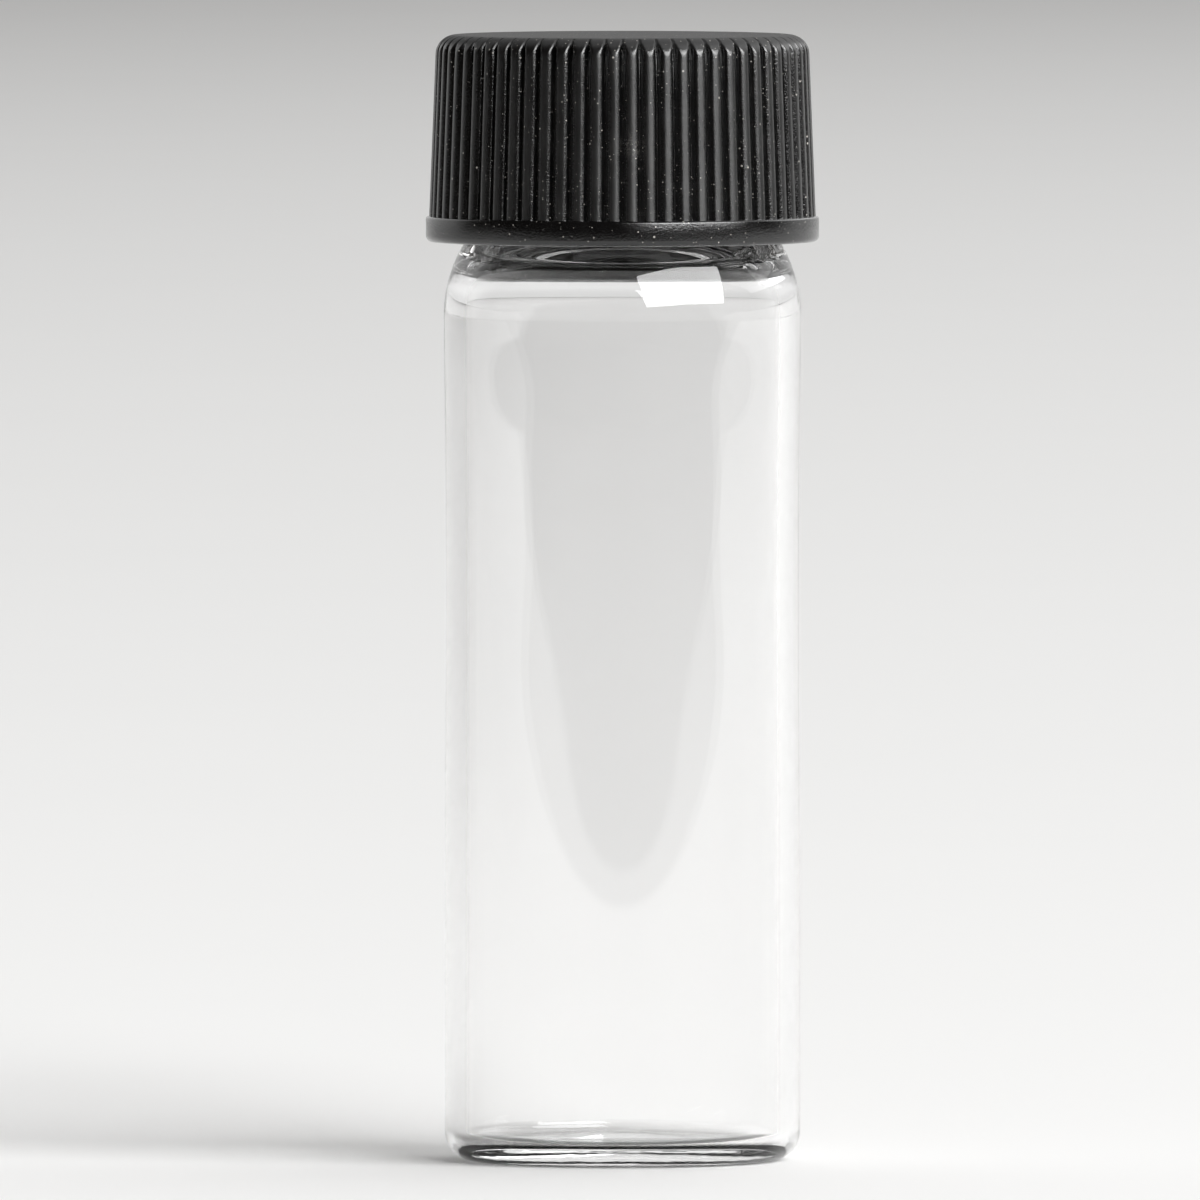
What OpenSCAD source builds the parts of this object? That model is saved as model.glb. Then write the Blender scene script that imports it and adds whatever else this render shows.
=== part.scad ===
// Glass sample vial with a ribbed screw cap and a sealing liner.
// Millimetres. The foot of the vial stands on z = 0 and its axis is the z axis.

/* [Glass body] */
// Outside diameter of the glass body
body_d = 14.7; // [13.6:0.1:18]
// Height of the glass from its foot to its rim
vial_h = 45; // [30:0.5:95]
// Thickness of the side wall
wall = 0.9; // [0.6:0.05:1.2]
// Thickness of the base beside the wall
base_t = 0.9; // [0.6:0.05:2]
// Outside radius of the heel, where the wall meets the base
heel_r = 1.2; // [0.6:0.05:1.8]
// Inside radius of the heel
inner_heel_r = 0.4; // [0.3:0.05:1.2]
// Diameter of the shallow hollow under the base
punt_d = 9.4; // [7:0.1:10.5]
// Height of the shallow hollow under the base
punt_h = 0.3; // [0.15:0.05:0.5]

/* [Shoulder and neck] */
// Height from the start of the shoulder's bend to the rim
finish_h = 9.3; // [8.4:0.05:12]
// Outside radius of the shoulder's bend
shoulder_r = 3.4; // [2.4:0.1:3.8]
// Outside diameter of the neck between its threads
neck_d = 11.5; // [10.8:0.1:12.4]
// Diameter of the mouth
mouth_d = 8.5; // [7:0.1:9.4]
// Radius of the hollow corner between shoulder and neck
neck_fillet_r = 0.5; // [0.3:0.05:0.8]
// Radius of the round edge inside, where the shoulder meets the mouth
throat_r = 0.6; // [0.3:0.05:0.9]
// Radius of the rim's two rounded edges
lip_r = 0.4; // [0.2:0.05:0.6]

/* [Screw thread] */
// Rise of the thread in one turn
thread_pitch = 2.12; // [1.9:0.01:2.5]
// Height of the thread ridge on the glass
thread_h = 0.7; // [0.5:0.05:0.9]
// Width of a thread ridge at its foot
thread_foot_w = 1.0; // [0.8:0.05:1.1]
// Width of a thread ridge at its crest
thread_crest_w = 0.5; // [0.3:0.05:0.6]
// Turns of thread on the glass
thread_turns = 1.6; // [1:0.1:1.8]
// Distance from the rim down to the upper end of the glass thread
thread_start = 1.3; // [1.1:0.05:1.6]
// Clearance between a thread's crest and the wall that faces it
thread_crest_clear = 0.22; // [0.1:0.01:0.3]
// Clearance between the two thread flanks that bear when the cap is tight
thread_flank_clear = 0.1; // [0.05:0.01:0.2]

/* [Cap] */
// Thickness of the cap's top
cap_top_t = 1.0; // [0.7:0.05:1.5]
// Thickness of the cap's wall behind its grooves, just below the top corner
cap_wall = 0.71; // [0.6:0.01:1]
// Gap between the cap's lower edge and the glass shoulder
skirt_gap = 0.3; // [0.2:0.05:0.8]
// Draft angle of the ribbed side
cap_draft = 2.25; // [1:0.05:3]
// Radius of the cap's top corner
cap_corner_r = 0.85; // [0.6:0.05:1.1]
// Height of the smooth bead round the cap's lower edge
bead_h = 1.05; // [0.8:0.05:1.5]
// How far the bead stands out past the foot of the ribs
bead_step = 0.13; // [0.05:0.01:0.3]
// Radius of the bead's lower edge
bead_edge_r = 0.25; // [0.1:0.05:0.4]
// Number of grip ribs, and of the grooves between them
rib_count = 66; // [48:2:72]
// Width of the round-bottomed grooves
groove_w = 0.4; // [0.3:0.02:0.5]
// Depth of the grooves
groove_depth = 0.36; // [0.2:0.02:0.36]

/* [Liner] */
// Thickness of the sealing liner
liner_t = 0.6; // [0.4:0.05:1.2]
// Clearance round the liner inside the cap
liner_clear = 0.12; // [0.05:0.01:0.2]

/* [Hidden] */
$fn = 96;

// Glass body
body_r = body_d / 2;
bore_r = body_r - wall;
neck_r = neck_d / 2;
mouth_r = mouth_d / 2;
punt_r = punt_d / 2;
punt_arc_r = (punt_r ^ 2 + punt_h ^ 2) / (2 * punt_h);

// Shoulder: the outer and inner bends share one centre
bend_x = body_r - shoulder_r;
bend_z = vial_h - finish_h;
inner_bend_r = shoulder_r - wall;
neck_fillet_c = fillet_centre(neck_r + neck_fillet_r, shoulder_r, neck_fillet_r);
throat_c = fillet_centre(mouth_r + throat_r, inner_bend_r, throat_r);

// Thread: a right-hand helix that starts at angle 0 at its upper end
thread_sink = 0.3;
thread_fade = 40;
thread_step = 10;
thread_top_z = vial_h - thread_start - thread_foot_w / 2;
flank_w_at_cap_crest = thread_foot_w - (thread_foot_w - thread_crest_w) * thread_crest_clear / thread_h;
cap_thread_drop = (flank_w_at_cap_crest + thread_crest_w) / 2 + thread_flank_clear;

// Cap: the bore clears the glass thread, and the outside follows from the bore
cap_bore_r = neck_r + thread_h + thread_crest_clear;
ceiling_z = vial_h + liner_t;
cap_top_z = ceiling_z + cap_top_t;
skirt_z = shoulder_height(cap_bore_r) + skirt_gap;
ledge_z = skirt_z + bead_h;
corner_z = cap_top_z - cap_corner_r;
groove_r = groove_w / 2;
side_top_r = cap_bore_r + cap_wall + groove_depth;
side_foot_r = side_top_r + (corner_z - ledge_z) * tan(cap_draft);
groove_axis_r = side_foot_r - (groove_depth - groove_r) / cos(cap_draft);
bead_r = side_foot_r + bead_step;
cap_thread_entry = 0.5;
cap_thread_low_z = skirt_z + cap_thread_entry + thread_foot_w / 2;
cap_thread_high_z = vial_h - thread_foot_w / 2;

// Liner
liner_r = cap_bore_r - liner_clear;

// Centre of an arc of radius r that blends a vertical wall at x - r into the shoulder's bend,
// or into the flat above the bend where the wall stands inside the bend's centre.
function fillet_centre(x, bend, r) =
    let (dx = x - bend_x)
    [x, bend_z + (dx > 0 ? sqrt((bend + r) ^ 2 - dx ^ 2) : bend + r)];

// Point where that arc leaves the bend.
function fillet_foot(centre, bend, r) =
    centre.x > bend_x
        ? [bend_x, bend_z] + (centre - [bend_x, bend_z]) * bend / (bend + r)
        : [centre.x, bend_z + bend];

// Height of the outer shoulder at distance r from the axis.
function shoulder_height(r) =
    bend_z + (r > bend_x ? sqrt(max(0, shoulder_r ^ 2 - (r - bend_x) ^ 2)) : shoulder_r);

function reversed(list) = [for (i = [len(list) - 1 : -1 : 0]) list[i]];

// Section of a thread ridge, as [distance out of the wall, height], sunk a little into the wall.
function thread_section(h) = [
    [-thread_sink, -thread_foot_w / 2],
    [h * 0.65, -thread_crest_w / 2],
    [h, -thread_crest_w / 4],
    [h, thread_crest_w / 4],
    [h * 0.65, thread_crest_w / 2],
    [-thread_sink, thread_foot_w / 2],
];

// Share of the ridge's height at an angle: it sinks into the wall towards both ends.
function thread_rise(angle, first, last) =
    min(1, (angle - first) / thread_fade, (last - angle) / thread_fade);

// A helical ridge on a round wall. side is 1 on the outside of a wall and -1 in a bore.
module thread_ridge(wall_r, side, h, top_z, first, last) {
    section = side > 0 ? thread_section(h) : reversed(thread_section(h));
    sides = len(section);
    steps = ceil((last - first) / thread_step);
    points = [
        for (i = [0 : steps])
            let (angle = first + (last - first) * i / steps)
            let (rise = thread_rise(angle, first, last))
            for (p = section)
                let (out = p.x > 0 ? (p.x + thread_sink / 4) * rise - thread_sink / 4 : p.x)
                let (r = wall_r + side * out)
                [r * cos(angle), r * sin(angle), top_z + thread_pitch * angle / 360 + p.y]
    ];
    skin = [
        for (i = [0 : steps - 1], j = [0 : sides - 1])
            let (a = i * sides + j, b = i * sides + (j + 1) % sides)
            each [[a, b, b + sides], [a, b + sides, a + sides]]
    ];
    start_face = [for (j = [sides - 1 : -1 : 0]) j];
    end_face = [for (j = [0 : sides - 1]) steps * sides + j];
    polyhedron(points = points, faces = concat(skin, [start_face, end_face]), convexity = 4);
}

// Right half of the glass as if it were solid.
module vial_outline() {
    translate([0, heel_r]) square([body_r, bend_z - heel_r]);
    square([body_r - heel_r, heel_r]);
    translate([body_r - heel_r, heel_r]) circle(heel_r);
    intersection() {
        translate([bend_x, bend_z]) circle(shoulder_r);
        translate([bend_x, bend_z]) square(shoulder_r);
    }
    translate([0, bend_z]) square([bend_x, shoulder_r]);
    square([neck_r, vial_h - lip_r]);
    square([neck_r - lip_r, vial_h]);
    translate([neck_r - lip_r, vial_h - lip_r]) circle(lip_r);
    difference() {
        polygon([
            [neck_r, bend_z],
            fillet_foot(neck_fillet_c, shoulder_r, neck_fillet_r),
            neck_fillet_c,
            [neck_r, neck_fillet_c.y],
        ]);
        translate(neck_fillet_c) circle(neck_fillet_r);
    }
}

// Right half of the space inside the glass.
module vial_hollow() {
    floor_z = base_t;
    translate([0, floor_z + inner_heel_r]) square([bore_r, bend_z - floor_z - inner_heel_r]);
    translate([0, floor_z]) square([bore_r - inner_heel_r, inner_heel_r]);
    translate([bore_r - inner_heel_r, floor_z + inner_heel_r]) circle(inner_heel_r);
    intersection() {
        translate([bend_x, bend_z]) circle(inner_bend_r);
        translate([bend_x, bend_z]) square(inner_bend_r);
    }
    translate([0, bend_z]) square([bend_x, inner_bend_r]);
    translate([0, bend_z]) square([mouth_r, finish_h]);
    difference() {
        polygon([
            [mouth_r, bend_z],
            fillet_foot(throat_c, inner_bend_r, throat_r),
            throat_c,
            [mouth_r, throat_c.y],
        ]);
        translate(throat_c) circle(throat_r);
    }
    difference() {
        translate([mouth_r, vial_h - lip_r]) square(lip_r);
        translate([mouth_r + lip_r, vial_h - lip_r]) circle(lip_r);
    }
}

// The glass is one piece: its base is dished, its shoulder and neck are formed from the wall.
module vial() {
    color([0.86, 0.9, 0.9, 0.4]) {
        rotate_extrude() difference() {
            vial_outline();
            difference() {
                vial_hollow();
                // The floor rises over the hollow under the base
                translate([0, base_t + punt_h - punt_arc_r]) circle(punt_arc_r);
            }
            translate([0, punt_h - punt_arc_r]) circle(punt_arc_r);
            translate([-body_r, -body_r]) square([body_r, vial_h + 2 * body_r]);
        }
        thread_ridge(neck_r, 1, thread_h, thread_top_z, -360 * thread_turns, 0);
    }
}

// Right half of the cap's side and top, with a round top corner.
module cap_side() {
    c = [side_top_r - cap_corner_r / cos(cap_draft), corner_z];
    polygon([
        [0, ledge_z],
        [side_foot_r, ledge_z],
        c + cap_corner_r * [cos(cap_draft), sin(cap_draft)],
        c,
        [c.x, cap_top_z],
        [0, cap_top_z],
    ]);
    translate(c) circle(cap_corner_r);
}

// Right half of the bead round the lower edge.
module cap_bead() {
    translate([0, skirt_z + bead_edge_r]) square([bead_r, bead_h - bead_edge_r]);
    translate([0, skirt_z]) square([bead_r - bead_edge_r, bead_edge_r]);
    translate([bead_r - bead_edge_r, skirt_z + bead_edge_r]) circle(bead_edge_r);
}

// Round grooves that lean with the draft and run out in the top corner.
module cap_grooves() {
    for (i = [0 : rib_count - 1])
        rotate((i + 0.5) * 360 / rib_count)
            translate([groove_axis_r, 0, ledge_z])
                rotate([0, -cap_draft, 0])
                    translate([0, 0, -groove_r])
                        cylinder(r = groove_r, h = cap_top_z - ledge_z + 2 * groove_r);
}

// The cap is one moulding: top, ribbed side, bead and thread.
module cap() {
    color([0.05, 0.05, 0.05]) {
        difference() {
            union() {
                difference() {
                    rotate_extrude() cap_side();
                    cap_grooves();
                }
                rotate_extrude() cap_bead();
            }
            translate([0, 0, skirt_z - bead_h])
                cylinder(r = cap_bore_r, h = ceiling_z - skirt_z + bead_h);
        }
        thread_ridge(
            cap_bore_r, -1, thread_h, thread_top_z - cap_thread_drop,
            (cap_thread_low_z - thread_top_z + cap_thread_drop) * 360 / thread_pitch,
            (cap_thread_high_z - thread_top_z + cap_thread_drop) * 360 / thread_pitch
        );
    }
}

// The liner lies between the rim and the cap's top.
module liner() {
    color([0.09, 0.09, 0.085])
        translate([0, 0, vial_h]) cylinder(r = liner_r, h = liner_t);
}

vial();
cap();
liner();
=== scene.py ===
"""A clear glass sample vial with a ribbed black screw cap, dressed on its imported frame.

Every piece is a surface of revolution worked out as one numpy grid: a profile of radius and height,
carried round the axis, with the ribs and the screw threads added as shifts of the radius.
All lengths are in metres.
"""

import bpy
import numpy as np
from bpy.props import FloatProperty, FloatVectorProperty, IntProperty, PointerProperty
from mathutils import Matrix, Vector


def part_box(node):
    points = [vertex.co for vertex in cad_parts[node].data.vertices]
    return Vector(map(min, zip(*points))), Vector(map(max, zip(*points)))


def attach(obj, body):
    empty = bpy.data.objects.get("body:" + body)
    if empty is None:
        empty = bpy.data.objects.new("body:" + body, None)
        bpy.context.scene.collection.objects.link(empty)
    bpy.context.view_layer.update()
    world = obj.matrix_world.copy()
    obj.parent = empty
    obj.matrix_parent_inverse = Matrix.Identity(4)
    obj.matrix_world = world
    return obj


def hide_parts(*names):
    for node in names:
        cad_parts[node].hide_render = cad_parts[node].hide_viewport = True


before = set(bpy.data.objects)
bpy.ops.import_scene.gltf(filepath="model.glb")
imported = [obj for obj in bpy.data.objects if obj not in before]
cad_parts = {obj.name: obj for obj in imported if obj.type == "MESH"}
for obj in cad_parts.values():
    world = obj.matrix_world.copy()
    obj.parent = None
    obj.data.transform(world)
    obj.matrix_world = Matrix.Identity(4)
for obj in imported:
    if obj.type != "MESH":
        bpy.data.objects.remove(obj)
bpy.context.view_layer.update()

bl_info = {
    "name": "Sample Vial",
    "version": (1, 0, 0),
    "blender": (4, 5, 0),
    "location": "View3D > Sidebar > Sample Vial",
    "description": "Builds a glass sample vial with its screw cap, liner and studio",
    "category": "Add Mesh",
}

MM = 0.001
VIAL_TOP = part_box("vial")[1]
CAP_LOW, CAP_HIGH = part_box("cap")
LINER_LOW, LINER_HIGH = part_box("liner")
SCUFF = (0.4 * MM, -7.9 * MM, 42.2 * MM)


def length(name, description, default):
    """A length property in metres."""
    return FloatProperty(name=name, description=description, default=default, unit="LENGTH", precision=5)


def colour(name, description, default):
    """A colour property."""
    return FloatVectorProperty(
        name=name, description=description, default=default, size=3, min=0.0, max=1.0, subtype="COLOR"
    )


class VialGlassSettings(bpy.types.PropertyGroup):
    """Sizes and look of the glass."""

    height: length("Height", "Height of the glass from foot to rim", VIAL_TOP.z)
    radius: length("Body radius", "Outside radius of the straight body", VIAL_TOP.x)
    wall: length("Wall", "Thickness of the side wall", 0.9 * MM)
    base: length("Base", "Thickness of the base beside the wall", 0.9 * MM)
    heel: length("Heel radius", "Outside radius where the wall meets the base", 1.2 * MM)
    inner_heel: length("Inner heel radius", "Inside radius where the wall meets the base", 0.4 * MM)
    punt_radius: length("Hollow radius", "Radius of the shallow hollow under the base", 4.7 * MM)
    punt_height: length("Hollow height", "Height of the shallow hollow under the base", 0.3 * MM)
    finish: length("Finish height", "Height from the start of the shoulder to the rim", 10.1 * MM)
    shoulder: length("Shoulder width", "How far the shoulder's outer bend reaches inwards", 3.4 * MM)
    shoulder_rise: length("Shoulder rise", "Height of the outside of the shoulder's bend", 4.76 * MM)
    inner_rise: length("Inner rise", "Height of the inside of the shoulder's bend", 2.65 * MM)
    inner_start: length("Inner start", "How far the inside of the bend starts above the outside", 0.1 * MM)
    swell: length("Swell", "How far the wall swells just below the shoulder", 0.05 * MM)
    waist: length("Waist", "How far the wall draws in at half height", 0.045 * MM)
    neck_radius: length("Neck radius", "Outside radius of the neck between its threads", 5.75 * MM)
    mouth_radius: length("Mouth radius", "Inside radius of the neck", 4.25 * MM)
    neck_fillet: length("Neck fillet", "Width of the hollow corner between shoulder and neck", 0.35 * MM)
    throat: length("Throat", "Width of the round edge inside the shoulder", 1.3 * MM)
    lip: length("Lip radius", "Radius of the rim's rounded edges", 0.4 * MM)
    ior: FloatProperty(name="Index", description="Index of refraction of the glass", default=1.5)


class ThreadSettings(bpy.types.PropertyGroup):
    """The screw thread that neck and cap share."""

    pitch: length("Pitch", "Rise of the thread in one turn", 2.12 * MM)
    height: length("Height", "Height of a thread ridge", 0.7 * MM)
    foot: length("Foot width", "Width of a ridge at its foot", 1.0 * MM)
    crest: length("Crest width", "Width of a ridge at its crest", 0.5 * MM)
    turns: FloatProperty(name="Turns", description="Turns of thread on the glass", default=1.6)
    start: length("Start", "Distance from the rim to the upper end of the thread", 1.3 * MM)
    cap_drop: length("Cap drop", "How far the cap's thread lies below the neck's", 0.77 * MM)
    cap_entry: length("Cap entry", "Plain bore below the cap's thread", 0.5 * MM)


class CapSettings(bpy.types.PropertyGroup):
    """Sizes and look of the cap."""

    low: length("Lower edge", "Height of the cap's lower edge", CAP_LOW.z)
    high: length("Top", "Height of the cap's top", CAP_HIGH.z)
    bead_radius: length("Bead radius", "Outside radius of the bead", CAP_HIGH.x)
    bead_height: length("Bead height", "Height of the bead", 1.05 * MM)
    bead_step: length("Bead step", "How far the bead stands out past the ribs", 0.13 * MM)
    bore: length("Bore radius", "Inside radius of the cap", 6.67 * MM)
    draft: FloatProperty(
        name="Draft", description="Lean of the ribbed side", default=np.radians(2.25), subtype="ANGLE"
    )
    corner: length("Corner radius", "Radius of the top corner", 0.85 * MM)
    ribs: IntProperty(name="Ribs", description="Number of grip ribs", default=66)
    groove: length("Groove depth", "Depth of the grooves between the ribs", 0.4 * MM)
    black: colour("Black", "Colour of the moulded plastic", (0.002, 0.002, 0.0021))
    dust: colour("Dust", "Colour of the dust on the cap", (0.42, 0.40, 0.37))
    scuff: FloatVectorProperty(
        name="Scuff", description="Middle of the scuffed spot", default=SCUFF, size=3, unit="LENGTH"
    )


class LinerSettings(bpy.types.PropertyGroup):
    """Sizes and look of the liner."""

    low: length("Underside", "Height of the liner's underside", LINER_LOW.z)
    high: length("Upper side", "Height of the liner's upper side", LINER_HIGH.z)
    radius: length("Radius", "Radius of the liner", LINER_HIGH.x)
    edge: length("Edge radius", "Radius of the liner's edges", 0.12 * MM)
    rubber: colour("Rubber", "Colour of the liner", (0.022, 0.021, 0.020))


class StudioSettings(bpy.types.PropertyGroup):
    """Table, lamps and camera."""

    table_half: length("Table half width", "Half the width of the table", 2.6)
    sheet_front: length("Sheet front", "Distance from the vial to the lit sheet's front edge", 0.22)
    sheet_half: length("Sheet half width", "Half the width of the lit sheet", 1.6)
    table: colour("Table", "Colour of the table", (0.83, 0.83, 0.825))
    camera_distance: length("Camera distance", "Level distance from the vial to the camera", 1.45)
    camera_height: length("Camera height", "Height of the camera above the table", 0.079)
    aim_x: length("Aim across", "Where the picture's centre falls across the vial", -0.93 * MM)
    aim_z: length("Aim up", "Where the picture's centre falls up the vial", 23.2 * MM)
    frame_width: length("Frame width", "Width of the picture at the vial", 49.65 * MM)


def arc(centre, radius, start, end, count):
    """Points on a circle: the centre plus radius times the cosine and sine of even angles in degrees."""
    angle = np.radians(np.linspace(start, end, count))
    return np.column_stack((centre[0] + radius * np.cos(angle), centre[1] + radius * np.sin(angle)))


def run(start, end, count):
    """Even points on a straight line from start to end."""
    return np.linspace(start, end, count)


def joined(*stretches):
    """One profile from stretches that share their end points: each repeated point is dropped."""
    points = np.concatenate(stretches)
    step = np.linalg.norm(np.diff(points, axis=0), axis=1)
    return points[np.concatenate(([True], step > 1e-9))]


def smooth_step(value):
    """Three times the square less twice the cube of the value held between 0 and 1."""
    held = np.clip(value, 0.0, 1.0)
    return held * held * (3.0 - 2.0 * held)


def soft_least(a, b, blend):
    """The lesser of a and b, rounded over a width of blend where they cross."""
    mix = np.clip(0.5 + 0.5 * (b - a) / blend, 0.0, 1.0)
    return b + (a - b) * mix - blend * mix * (1.0 - mix)


def revolve(name, radius, height, material):
    """A closed surface of revolution from grids of radius and height, rows along the profile.

    Point (i, j) lies at radius times the cosine and sine of the angle of column j. The first and last
    rows lie on the axis and become one pole each. The profile keeps the solid on its left.
    """
    rows, columns = radius.shape
    angle = np.linspace(0.0, 2.0 * np.pi, columns, endpoint=False)
    grid = np.stack((radius * np.cos(angle), radius * np.sin(angle), height), axis=-1)
    ring = grid[1:-1].reshape(-1, 3)
    points = np.concatenate((grid[:1, 0], ring, grid[-1:, 0]))
    index = 1 + np.arange((rows - 2) * columns).reshape(rows - 2, columns)
    after = np.roll(index, -1, axis=1)
    quads = np.stack((index[:-1], after[:-1], after[1:], index[1:]), axis=-1).reshape(-1, 4)
    last = len(points) - 1
    first_fan = np.stack((np.zeros(columns, int), after[0], index[0]), axis=-1)
    last_fan = np.stack((np.full(columns, last), index[-1], after[-1]), axis=-1)
    mesh = bpy.data.meshes.new(name)
    mesh.from_pydata(points, [], [*quads.tolist(), *first_fan.tolist(), *last_fan.tolist()])
    mesh.polygons.foreach_set("use_smooth", np.ones(len(mesh.polygons), bool))
    mesh.materials.append(material)
    mesh.update()
    piece = bpy.data.objects.new(name, mesh)
    bpy.context.scene.collection.objects.link(piece)
    return piece


def ridge(thread, angle, height, first, last, top):
    """Share of a helical ridge's height at each angle and height.

    The ridge's middle rises by the pitch in a turn and passes the height top at angle 0. Across the
    ridge the share falls from 1 at the crest to 0 at the foot in a smooth step, and it fades out over
    forty degrees towards the first and the last angle.
    """
    fade = np.radians(40.0)
    turns = np.arange(np.floor(first / (2 * np.pi)), np.ceil(last / (2 * np.pi)))
    share_of_height = np.zeros(np.broadcast(angle, height).shape)
    for turn in turns:
        along = angle + 2 * np.pi * turn
        off = np.abs(height - top - thread.pitch * along / (2 * np.pi))
        across = smooth_step((thread.foot / 2 - off) / (thread.foot / 2 - thread.crest / 4))
        ends = smooth_step(np.minimum(along - first, last - along) / fade)
        share_of_height = np.maximum(share_of_height, across * ends)
    return share_of_height


class Finish:
    """A node material under construction: nodes are added by type, with values or sockets as inputs."""

    def __init__(self, name):
        self.material = bpy.data.materials.new(name)
        self.material.use_nodes = True
        self.tree = self.material.node_tree
        self.tree.nodes.clear()

    def add(self, kind, inputs=None, **settings):
        """Adds a node, sets its settings, and sets or links each named or numbered input."""
        node = self.tree.nodes.new(kind)
        for key, value in settings.items():
            setattr(node, key, value)
        for key, value in (inputs or {}).items():
            if isinstance(value, bpy.types.NodeSocket):
                self.tree.links.new(value, node.inputs[key])
            else:
                node.inputs[key].default_value = value
        return node

    def place(self, scale=(1.0, 1.0, 1.0)):
        """Object coordinates in millimetres, stretched by scale."""
        coordinates = self.add("ShaderNodeTexCoord").outputs["Object"]
        size = tuple(s / MM for s in scale)
        return self.add("ShaderNodeMapping", {"Vector": coordinates, "Scale": size}).outputs[0]

    def noise(self, vector, scale, detail=2.0, roughness=0.5):
        """Noise of that many cells a millimetre."""
        values = {"Vector": vector, "Scale": scale, "Detail": detail, "Roughness": roughness}
        return self.add("ShaderNodeTexNoise", values).outputs["Fac"]

    def ramp(self, value, low, high, bottom=0.0, top=1.0):
        """The value carried from the range low to high onto the range bottom to top, in a smooth step."""
        inputs = {"Value": value, "From Min": low, "From Max": high, "To Min": bottom, "To Max": top}
        return self.add("ShaderNodeMapRange", inputs, interpolation_type="SMOOTHSTEP").outputs[0]

    def maths(self, operation, a, b):
        """Two values joined by one operation."""
        return self.add("ShaderNodeMath", {0: a, 1: b}, operation=operation).outputs[0]

    def mixed(self, share_of_second, first, second):
        """Two colours mixed by a share."""
        node = self.add("ShaderNodeMix", {"Factor": share_of_second}, data_type="RGBA")
        for socket, value in zip(("A", "B"), (first, second)):
            target = next(s for s in node.inputs if s.name == socket and s.type == "RGBA")
            if isinstance(value, bpy.types.NodeSocket):
                self.tree.links.new(value, target)
            else:
                target.default_value = (*value, 1.0)
        return next(s for s in node.outputs if s.type == "RGBA")

    def bump(self, height, strength, distance):
        """A bumped normal from a height field."""
        values = {"Height": height, "Strength": strength, "Distance": distance}
        return self.add("ShaderNodeBump", values).outputs[0]

    def done(self, shader):
        """Links the shader to the output and returns the material."""
        self.add("ShaderNodeOutputMaterial", {"Surface": shader.outputs[0]})
        return self.material


def clear_glass(glass):
    """Clear glass with the faint lengthwise draw lines of glass tube."""
    finish = Finish("clear_glass")
    lines = finish.noise(finish.place((1.0, 1.0, 0.02)), 0.9, 2.0)
    shader = finish.add(
        "ShaderNodeBsdfPrincipled",
        {
            "Base Color": (1.0, 1.0, 1.0, 1.0),
            "Roughness": 0.0,
            "IOR": glass.ior,
            "Transmission Weight": 1.0,
            "Normal": finish.bump(lines, 0.05, 0.1 * MM),
        },
    )
    return finish.done(shader)


def black_plastic(cap):
    """Moulded black plastic: fine grain, dull smudges, a scuff on the front, and specks of pale dust.

    The mesh's own value for wear is 0 in the grooves and on the bead, which shine, 1 on the ribs' crowns,
    which are duller, and 2 on the matt top.
    """
    finish = Finish("black_plastic")
    place = finish.place()
    grain = finish.noise(place, 12.0, 3.0, 0.6)
    smudges = finish.noise(place, 0.8, 4.0, 0.6)

    def specks(scale, rarest, largest):
        """Round spots in some of the cells, of various sizes."""
        cells = finish.add("ShaderNodeTexVoronoi", {"Vector": place, "Scale": scale, "Randomness": 1.0})
        size = finish.ramp(cells.outputs["Color"], rarest, 1.0, 0.0, largest)
        inputs = {0: cells.outputs["Distance"], 1: size}
        return finish.add("ShaderNodeMath", inputs, operation="LESS_THAN").outputs[0]

    dust = finish.maths("MAXIMUM", specks(3.0, 0.4, 0.15), specks(6.5, 0.35, 0.19))
    middle = tuple(c / MM for c in cap.scuff)
    reach = finish.add("ShaderNodeVectorMath", {0: place, 1: middle}, operation="DISTANCE").outputs["Value"]
    scratches = finish.ramp(finish.noise(place, 9.0, 5.0, 0.75), 0.5, 0.62)
    scuff = finish.maths("MULTIPLY", finish.ramp(reach, 0.75, 0.1), scratches)
    film = finish.ramp(smudges, 0.5, 0.75, 0.0, 0.006)
    dirt = finish.maths("MAXIMUM", finish.maths("MULTIPLY", dust, 0.75), film)
    dirt = finish.maths("MAXIMUM", dirt, finish.maths("MULTIPLY", scuff, 0.22))
    worn = finish.add("ShaderNodeAttribute", attribute_name="worn").outputs["Fac"]
    crowns = finish.ramp(worn, 0.55, 1.0, 0.1, 0.28)
    dull = finish.maths("ADD", crowns, finish.ramp(worn, 1.0, 2.0, 0.0, 0.4))
    shader = finish.add(
        "ShaderNodeBsdfPrincipled",
        {
            "Base Color": finish.mixed(dirt, tuple(cap.black), tuple(cap.dust)),
            "Roughness": finish.maths("ADD", dull, finish.ramp(smudges, 0.3, 0.7, 0.0, 0.05)),
            "Specular IOR Level": 0.75,
            "Normal": finish.bump(grain, 0.5, 0.02 * MM),
        },
    )
    return finish.done(shader)


def liner_rubber(liner):
    """Dark rubber sheet with a fine grain and a few paler patches."""
    finish = Finish("liner_rubber")
    place = finish.place()
    grain = finish.noise(place, 9.0, 3.0)
    tint = finish.ramp(finish.noise(place, 1.5, 2.0), 0.3, 0.7)
    dark = tuple(liner.rubber)
    shader = finish.add(
        "ShaderNodeBsdfPrincipled",
        {
            "Base Color": finish.mixed(tint, dark, tuple(1.5 * c for c in dark)),
            "Roughness": 0.55,
            "Normal": finish.bump(grain, 0.3, 0.02 * MM),
        },
    )
    return finish.done(shader)


def table_paper(studio):
    """Matt white paper, very slightly cloudy."""
    finish = Finish("table_paper")
    shade = finish.ramp(finish.noise(finish.place(), 0.02, 2.0), 0.3, 0.7, 0.0, 0.12)
    pale = tuple(studio.table)
    shader = finish.add(
        "ShaderNodeBsdfPrincipled",
        {
            "Base Color": finish.mixed(shade, pale, tuple(0.97 * c for c in pale)),
            "Roughness": 0.9,
            "Specular IOR Level": 0.1,
        },
    )
    return finish.done(shader)


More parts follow.
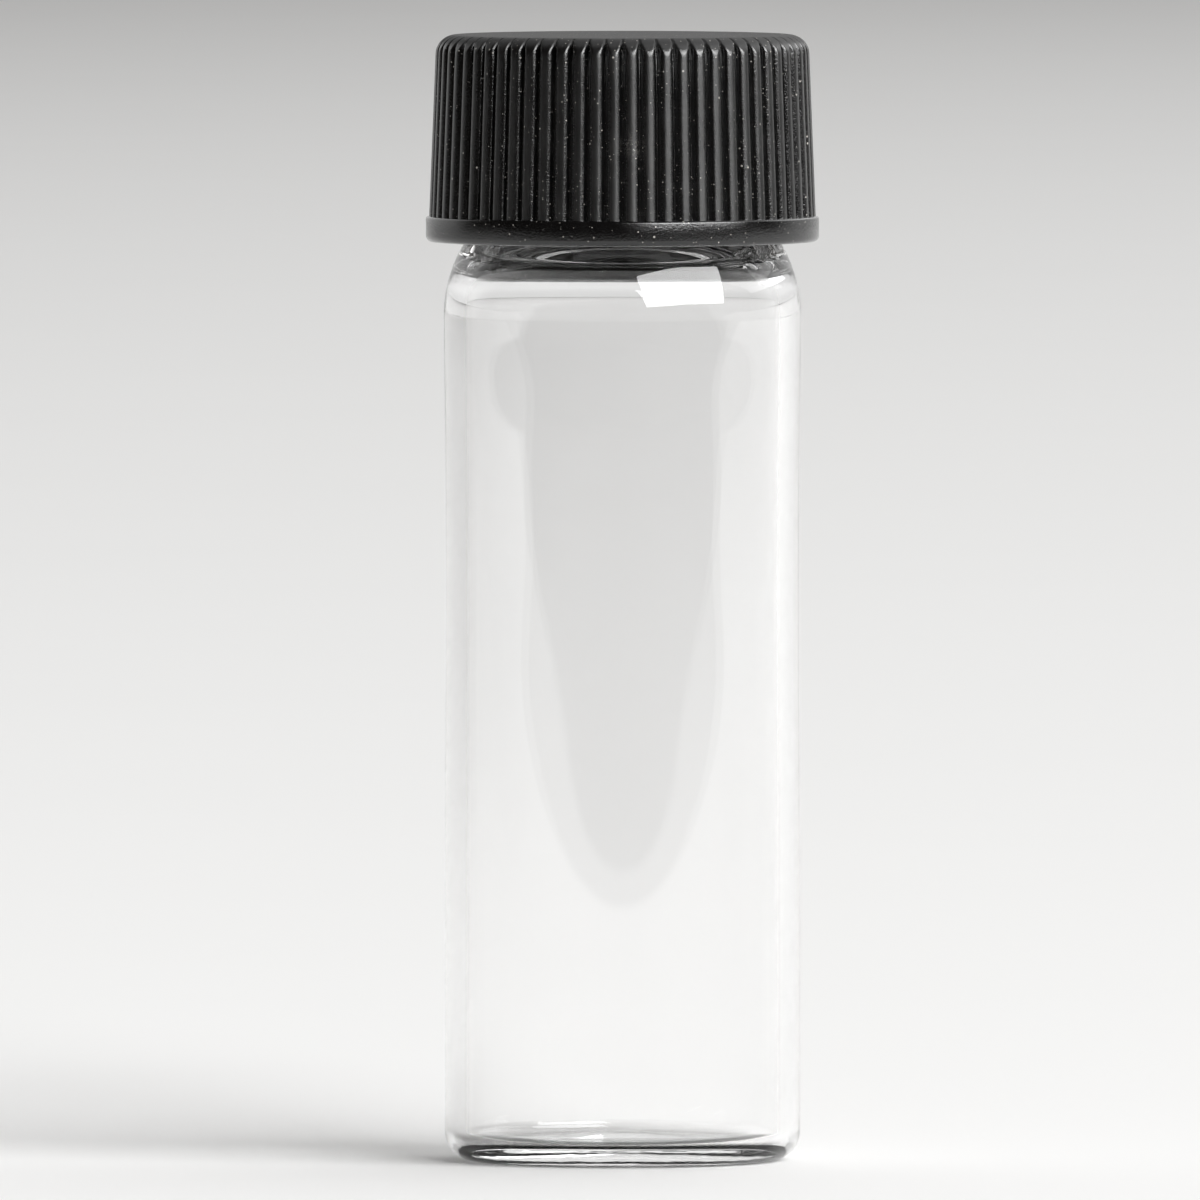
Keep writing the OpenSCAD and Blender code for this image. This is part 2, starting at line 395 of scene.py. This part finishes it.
def painted_shade_sheet(studio):
    """Painted shade: a dark matt sheet, seen only in the glass and the cap, that stands for the dim room
    beyond the lit sheet. It thins out to nothing towards the sheet's front edge and its two sides.
    """
    finish = Finish("painted_shade_sheet")
    axes = finish.add("ShaderNodeSeparateXYZ", {0: finish.add("ShaderNodeTexCoord").outputs["Object"]})
    aside = finish.maths("ABSOLUTE", axes.outputs["X"], 0.0)
    ahead = finish.ramp(axes.outputs["Y"], -studio.sheet_front, -studio.sheet_front - 0.02)
    beside = finish.ramp(aside, studio.sheet_half, studio.sheet_half + 0.15)
    mottle = finish.ramp(finish.noise(finish.place(), 0.5, 2.0), 0.3, 0.7)
    # painted shade: this dark colour stands for the dim room that the cap and the glass reflect
    dark = finish.add(
        "ShaderNodeBsdfPrincipled",
        {
            "Base Color": finish.mixed(mottle, (0.027, 0.024, 0.021), (0.033, 0.030, 0.027)),
            "Roughness": 0.9,
            "Specular IOR Level": 0.1,
        },
    )
    clear = finish.add("ShaderNodeBsdfTransparent")
    inputs = {0: finish.maths("MAXIMUM", ahead, beside), 1: clear.outputs[0], 2: dark.outputs[0]}
    return finish.done(finish.add("ShaderNodeMixShader", inputs))


def oval(centre, width, rise, power, start, end, count):
    """Points on a quarter of a superellipse, at even angles.

    They lie at the centre plus width times the cosine, and rise times the sine, of the angle in degrees,
    each raised to two over the power. Power 2 is an ellipse, and above that the bend starts more gently.
    """
    angle = np.radians(np.linspace(start, end, count))
    across, up = np.cos(angle) ** (2 / power), np.sin(angle) ** (2 / power)
    return np.column_stack((centre[0] + width * across, centre[1] + rise * up))


def bridge(before, start, end, count):
    """A smooth corner from start to a point straight above or below it on the line that end stands on.

    It is the quadratic curve whose middle point is where the line from before through start meets the
    upright through end, so it leaves start along that line and reaches end upright.
    """
    lean = (start[1] - before[1]) / (start[0] - before[0])
    corner = np.array((end[0], start[1] + lean * (end[0] - start[0])))
    t = np.linspace(0.0, 1.0, count)[:, None]
    return (1 - t) ** 2 * start + 2 * t * (1 - t) * corner + t**2 * np.asarray(end)


def dished(glass, start, end, count, level):
    """The base's dish: a raised cosine of the hollow's height over the hollow's radius, above a level."""
    radius = np.linspace(start, end, count)
    lift = 0.5 + 0.5 * np.cos(np.pi * np.minimum(radius / glass.punt_radius, 1.0))
    return np.column_stack((radius, level + glass.punt_height * lift))


def glass_profile(glass):
    """Section of the glass, from the middle of its underside round the outside to the middle of its floor.

    The shoulder is a quarter of an ellipse outside and of a superellipse inside, cut off near the neck.
    """
    r, heel, lip, top = glass.radius, glass.heel, glass.lip, glass.height
    bore, inner = r - glass.wall, glass.inner_heel
    neck, mouth = glass.neck_radius, glass.mouth_radius
    bend = np.array((r - glass.shoulder, top - glass.finish))
    reach = glass.shoulder - glass.wall
    power = 2.5
    inner_bend = bend + (0.0, glass.inner_start)
    outer_end = np.degrees(np.arccos((neck + glass.neck_fillet - bend[0]) / glass.shoulder))
    inner_end = np.degrees(np.arccos(((mouth + glass.throat - bend[0]) / reach) ** (power / 2)))
    outside = oval(bend, glass.shoulder, glass.shoulder_rise, 2.0, 0.0, outer_end, 40)
    inside = oval(inner_bend, reach, glass.inner_rise, power, inner_end, 0.0, 48)
    neck_foot = (neck, outside[-1][1] + 2 * glass.neck_fillet)
    mouth_foot = (mouth, inside[0][1] + 1.5 * glass.throat)
    return joined(
        dished(glass, 0.0, r - heel, 22, 0.0),
        arc((r - heel, heel), heel, -90.0, 0.0, 16),
        run((r, heel), (r, bend[1]), 48),
        outside,
        bridge(outside[-2], outside[-1], neck_foot, 10),
        run(neck_foot, (neck, top - lip), 56),
        arc((neck - lip, top - lip), lip, 0.0, 90.0, 9),
        arc((mouth + lip, top - lip), lip, 90.0, 180.0, 9),
        run((mouth, top - lip), mouth_foot, 8),
        bridge(inside[1], inside[0], mouth_foot, 14)[::-1],
        inside,
        run((bore, inner_bend[1]), (bore, glass.base + inner), 48),
        arc((bore - inner, glass.base + inner), inner, 0.0, -90.0, 14),
        dished(glass, bore - inner, 0.0, 22, glass.base),
    )


def drawn(glass, height):
    """Shift of the drawn tube's wall: a bell-shaped swell below the shoulder, less one at half height."""
    swell = glass.swell * np.exp(-(((height - 34.6 * MM) / (3.2 * MM)) ** 2))
    return swell - glass.waist * np.exp(-(((height - 23.5 * MM) / (6.0 * MM)) ** 2))


def columns_of(count):
    """Even angles round the axis, as a row."""
    return np.linspace(0.0, 2.0 * np.pi, count, endpoint=False)[None, :]


def make_glass(glass, thread):
    """The glass: its section turned round the axis, plus the thread's height on the neck's outside.

    The wall follows the slight swell and waist of drawn tube, which fade out at the axis.
    """
    profile = glass_profile(glass)
    angle = columns_of(276)
    radius = np.repeat(profile[:, :1], angle.size, axis=1)
    height = np.repeat(profile[:, 1:], angle.size, axis=1)
    on_neck = np.isclose(profile[:, :1], glass.neck_radius, atol=1e-7)
    top = glass.height - thread.start - thread.foot / 2
    rise = ridge(thread, angle, height, -2 * np.pi * thread.turns, 0.0, top)
    shift = drawn(glass, height) * smooth_step(radius / glass.mouth_radius)
    radius = radius + shift + on_neck * thread.height * rise
    return revolve("glass_vial", radius, height, clear_glass(glass))


def cap_profile(cap):
    """Section of the cap, from the middle of its ceiling down the bore, round the bead and up to its top."""
    ceiling = LINER_HIGH.z
    ledge = cap.low + cap.bead_height
    corner_z = cap.high - cap.corner
    foot = cap.bead_radius - cap.bead_step
    corner_x = foot - (corner_z - ledge) * np.tan(cap.draft) - cap.corner / np.cos(cap.draft)
    lean = np.degrees(cap.draft)
    cove, edge, brow = 0.2 * MM, 0.25 * MM, 0.1 * MM
    inside = joined(
        run((0.0, ceiling), (cap.bore - cove, ceiling), 5),
        arc((cap.bore - cove, ceiling - cove), cove, 90.0, 0.0, 5),
        run((cap.bore, ceiling - cove), (cap.bore, cap.low + cove), 40),
        arc((cap.bore + cove, cap.low + cove), cove, 180.0, 270.0, 6),
        arc((cap.bead_radius - edge, cap.low + edge), edge, -90.0, 0.0, 8),
        arc((cap.bead_radius - brow, ledge - brow), brow, 0.0, 90.0, 5),
    )
    side = joined(
        run((foot, ledge), (foot, ledge + 0.02 * MM), 2),
        run((foot, ledge + 0.02 * MM), arc((corner_x, corner_z), cap.corner, lean, lean, 1)[0], 10),
        arc((corner_x, corner_z), cap.corner, lean, 90.0, 24),
        run((corner_x, cap.high), (0.0, cap.high), 6),
    )
    return inside, side


def make_cap(cap, thread):
    """The cap: its section turned round the axis, with a thread in its bore and grooves in its side.

    Across a rib the depth goes with the square of the distance from the crest, for a round crown, plus
    its eighth power, for a narrow groove. The groove follows the draft and deepens by a smooth step near
    the top, and the round top corner cuts it off in an arch. Each point also carries its wear: one less
    that square on the ribs, going over to two on the top, and none elsewhere.
    """
    inside, side = cap_profile(cap)
    steps_a_rib = 12
    angle = columns_of(cap.ribs * steps_a_rib)
    profile = np.concatenate((inside, side))
    radius = np.repeat(profile[:, :1], angle.size, axis=1)
    height = np.repeat(profile[:, 1:], angle.size, axis=1)
    in_bore = np.isclose(profile[:, :1], cap.bore, atol=1e-7)
    neck_top = VIAL_TOP.z - thread.start - thread.foot / 2
    top = neck_top - thread.cap_drop
    turn = 2 * np.pi / thread.pitch
    first = (cap.low + thread.cap_entry + thread.foot / 2 - top) * turn
    last = (VIAL_TOP.z - thread.foot / 2 - top) * turn
    radius = radius - in_bore * thread.height * ridge(thread, angle, height, first, last, top)
    across = 2 * np.abs((angle * cap.ribs / (2 * np.pi) + 0.5) % 1.0 - 0.5)
    ledge = cap.low + cap.bead_height
    rows = slice(len(inside), len(profile) - 1)
    slope = cap.bead_radius - cap.bead_step - (height[rows] - ledge) * np.tan(cap.draft)
    deeper = 1.0 + 0.6 * smooth_step((height[rows] - cap.high + 1.3 * MM) / (1.2 * MM))
    floor = slope - cap.groove * deeper * (0.45 * across**2 + 0.55 * across**8)
    radius[rows] = soft_least(radius[rows], floor, 0.03 * MM)
    worn = np.zeros(radius.shape)
    flat = smooth_step((height[rows] - cap.high + 0.6 * MM) / (0.5 * MM))
    worn[rows] = (1.0 - flat) * (1.0 - across**2) + 2.0 * flat
    worn[-1] = 2.0
    piece = revolve("screw_cap", radius, height, black_plastic(cap))
    values = np.concatenate((worn[0, :1], worn[1:-1].ravel(), worn[-1, :1]))
    piece.data.attributes.new("worn", "FLOAT", "POINT").data.foreach_set("value", values)
    return piece


def make_liner(liner):
    """The liner: a disc with rounded edges, and a shallow ring pressed into its underside by the rim."""
    lift = 0.01 * MM
    low, edge = liner.low + lift, liner.edge
    under = np.linspace(0.0, liner.radius - edge, 24)
    pressed = 0.03 * MM * np.exp(-(((under - 5.0 * MM) / (0.5 * MM)) ** 2))
    profile = joined(
        np.column_stack((under, low + pressed)),
        arc((liner.radius - edge, low + edge), edge, -90.0, 0.0, 6),
        arc((liner.radius - edge, liner.high - lift - edge), edge, 0.0, 90.0, 6),
        run((liner.radius - edge, liner.high - lift), (0.0, liner.high - lift), 6),
    )
    grid = np.repeat(profile[:, :, None], 160, axis=2)
    return revolve("cap_liner", grid[:, 0], grid[:, 1], liner_rubber(liner))


def laid_flat(name, points, faces, material):
    """A level piece of the studio from points, polygons and a material."""
    mesh = bpy.data.meshes.new(name)
    mesh.from_pydata(points, [], faces)
    mesh.materials.append(material)
    mesh.update()
    sheet = bpy.data.objects.new(name, mesh)
    bpy.context.scene.collection.objects.link(sheet)
    return sheet


def make_table(studio):
    """A level white table at height 0, and a dark sheet of painted shade that lies on it in front of the
    vial and far aside.

    The sheet stands for the dim room in front: it shows in the glass and the cap but not to the camera, and
    it casts no shadow.
    """
    wide, half, front, up = studio.table_half, studio.sheet_half, -studio.sheet_front, 0.5 * MM
    square = [(-wide, -wide, 0.0), (wide, -wide, 0.0), (wide, wide, 0.0), (-wide, wide, 0.0)]
    laid_flat("table", square, [(0, 1, 2, 3)], table_paper(studio))
    x, y = np.meshgrid((-wide, -half, half, wide), (-wide, front, wide))
    points = np.stack((x, y, np.full(x.shape, up)), axis=-1).reshape(-1, 3)
    faces = [(0, 1, 5, 4), (1, 2, 6, 5), (2, 3, 7, 6), (4, 5, 9, 8), (6, 7, 11, 10)]
    # painted shade: a dark sheet seen only in reflections, for the dim room in front of the vial
    shade_piece = laid_flat("painted_shade_sheet", points, faces, painted_shade_sheet(studio))
    shade_piece.visible_camera = False
    shade_piece.visible_shadow = False


def add_lamp(name, radiance, size, azimuth, elevation, distance, target):
    """A rectangular soft lamp that faces the target, given its radiance and its bearing seen from there.

    Azimuth 0 is the camera's side and 90 the right. A lamp's power is pi times radiance times area.
    """
    lamp = bpy.data.lights.new(name, "AREA")
    lamp.shape = "RECTANGLE"
    lamp.size, lamp.size_y = size
    lamp.energy = np.pi * radiance * size[0] * size[1]
    a, e = np.radians((azimuth, elevation))
    out = Vector((np.sin(a) * np.cos(e), -np.cos(a) * np.cos(e), np.sin(e)))
    holder = bpy.data.objects.new(name, lamp)
    holder.location = Vector(target) + out * distance
    holder.rotation_euler = out.to_track_quat("Z", "Y").to_euler()
    holder.visible_camera = False
    bpy.context.scene.collection.objects.link(holder)


def room_shade(tree):
    """The room: dim, with a white backdrop behind the table up to a certain elevation.

    The backdrop is a mix of two whites by the height of the ray, so it meets the table's far edge softly.
    """
    axes = tree.nodes.new("ShaderNodeSeparateXYZ")
    tree.links.new(tree.nodes.new("ShaderNodeTexCoord").outputs["Generated"], axes.inputs[0])

    def ramp(axis, low, high):
        """A smooth step of the ray's direction along an axis."""
        node = tree.nodes.new("ShaderNodeMapRange")
        node.interpolation_type = "SMOOTHSTEP"
        node.inputs["From Min"].default_value = low
        node.inputs["From Max"].default_value = high
        tree.links.new(axes.outputs[axis], node.inputs["Value"])
        return node.outputs[0]

    def blend(factor, first, second):
        """Two colours, or a colour and a socket, mixed by a factor."""
        node = tree.nodes.new("ShaderNodeMixRGB")
        for socket, value in zip(node.inputs, (factor, first, second)):
            if isinstance(value, bpy.types.NodeSocket):
                tree.links.new(value, socket)
            else:
                socket.default_value = (*value, 1.0)
        return node.outputs[0]

    backdrop = blend(ramp("Z", 0.0, 0.14), (0.73, 0.73, 0.725), (0.86, 0.86, 0.855))
    behind = tree.nodes.new("ShaderNodeMath")
    behind.operation = "MULTIPLY"
    tree.links.new(ramp("Y", 0.2, 0.5), behind.inputs[0])
    tree.links.new(ramp("Z", 0.72, 0.5), behind.inputs[1])
    shade = tree.nodes.new("ShaderNodeBackground")
    tree.links.new(blend(behind.outputs[0], (0.04, 0.035, 0.031), backdrop), shade.inputs["Color"])
    return shade.outputs[0]


def light_studio():
    """A soft lamp to the front right, a broad one over the table, and a dim room with a backdrop."""
    middle = (0.0, 0.0, 0.03)
    add_lamp("key_softbox", 11.5, (2.7, 1.28), 43.0, 25.0, 2.6, middle)
    add_lamp("table_light", 1.2, (2.6, 2.6), 135.0, 50.0, 2.0, middle)
    world = bpy.data.worlds.new("room")
    world.use_nodes = True
    tree = world.node_tree
    tree.nodes.clear()
    out = tree.nodes.new("ShaderNodeOutputWorld")
    tree.links.new(room_shade(tree), out.inputs["Surface"])
    bpy.context.scene.world = world


def aim_camera(studio):
    """A long lens, a little above the vial, that frames it as the picture does."""
    eye = Vector((studio.aim_x, -studio.camera_distance, studio.camera_height))
    look = Vector((studio.aim_x, 0.0, studio.aim_z)) - eye
    camera = bpy.data.cameras.new("camera")
    camera.sensor_width = 36.0
    camera.lens = camera.sensor_width * look.length / studio.frame_width
    camera.clip_start, camera.clip_end = 0.05, 10.0
    holder = bpy.data.objects.new("camera", camera)
    holder.location = eye
    holder.rotation_euler = look.to_track_quat("-Z", "Y").to_euler()
    bpy.context.scene.collection.objects.link(holder)
    bpy.context.scene.camera = holder


class VIAL_OT_glass(bpy.types.Operator):
    """Make the glass vial"""

    bl_idname = "sample_vial.glass"
    bl_label = "Glass Vial"
    bl_options = {"REGISTER", "UNDO"}

    def execute(self, context):
        piece = make_glass(context.scene.vial_glass, context.scene.vial_thread)
        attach(piece, "vial")
        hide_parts("vial")
        return {"FINISHED"}


class VIAL_OT_cap(bpy.types.Operator):
    """Make the screw cap"""

    bl_idname = "sample_vial.cap"
    bl_label = "Screw Cap"
    bl_options = {"REGISTER", "UNDO"}

    def execute(self, context):
        piece = make_cap(context.scene.vial_cap, context.scene.vial_thread)
        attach(piece, "cap")
        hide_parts("cap")
        return {"FINISHED"}


class VIAL_OT_liner(bpy.types.Operator):
    """Make the liner in the cap"""

    bl_idname = "sample_vial.liner"
    bl_label = "Liner"
    bl_options = {"REGISTER", "UNDO"}

    def execute(self, context):
        piece = make_liner(context.scene.vial_liner)
        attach(piece, "liner")
        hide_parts("liner")
        return {"FINISHED"}


class VIAL_OT_studio(bpy.types.Operator):
    """Make the table, the lamps and the camera"""

    bl_idname = "sample_vial.studio"
    bl_label = "Studio"
    bl_options = {"REGISTER", "UNDO"}

    def execute(self, context):
        make_table(context.scene.vial_studio)
        light_studio()
        aim_camera(context.scene.vial_studio)
        context.scene.view_settings.view_transform = "Standard"
        for limit in ("max_bounces", "glossy_bounces", "transmission_bounces"):
            setattr(context.scene.cycles, limit, 24)
        return {"FINISHED"}


class VIAL_PT_panel(bpy.types.Panel):
    """Lists the makers of the vial's pieces"""

    bl_idname = "VIAL_PT_panel"
    bl_label = "Sample Vial"
    bl_space_type = "VIEW_3D"
    bl_region_type = "UI"
    bl_category = "Sample Vial"

    def draw(self, context):
        for settings, maker in SECTIONS:
            box = self.layout.box()
            group = getattr(context.scene, settings)
            for key in group.bl_rna.properties.keys():
                if key not in {"rna_type", "name"}:
                    box.prop(group, key)
            if maker:
                box.operator(maker)


SECTIONS = (
    ("vial_glass", "sample_vial.glass"),
    ("vial_thread", None),
    ("vial_cap", "sample_vial.cap"),
    ("vial_liner", "sample_vial.liner"),
    ("vial_studio", "sample_vial.studio"),
)
GROUPS = {
    "vial_glass": VialGlassSettings,
    "vial_thread": ThreadSettings,
    "vial_cap": CapSettings,
    "vial_liner": LinerSettings,
    "vial_studio": StudioSettings,
}
CLASSES = (*GROUPS.values(), VIAL_OT_glass, VIAL_OT_cap, VIAL_OT_liner, VIAL_OT_studio, VIAL_PT_panel)


def register():
    """Registers the classes and hangs the settings on the scene."""
    for each in CLASSES:
        bpy.utils.register_class(each)
    for name, group in GROUPS.items():
        setattr(bpy.types.Scene, name, PointerProperty(type=group))


def unregister():
    """Takes the settings off the scene and unregisters the classes."""
    for name in GROUPS:
        delattr(bpy.types.Scene, name)
    for each in reversed(CLASSES):
        bpy.utils.unregister_class(each)


def main():
    """Builds every piece and the studio."""
    register()
    bpy.ops.sample_vial.glass()
    bpy.ops.sample_vial.cap()
    bpy.ops.sample_vial.liner()
    bpy.ops.sample_vial.studio()


if __name__ == "__main__":
    main()
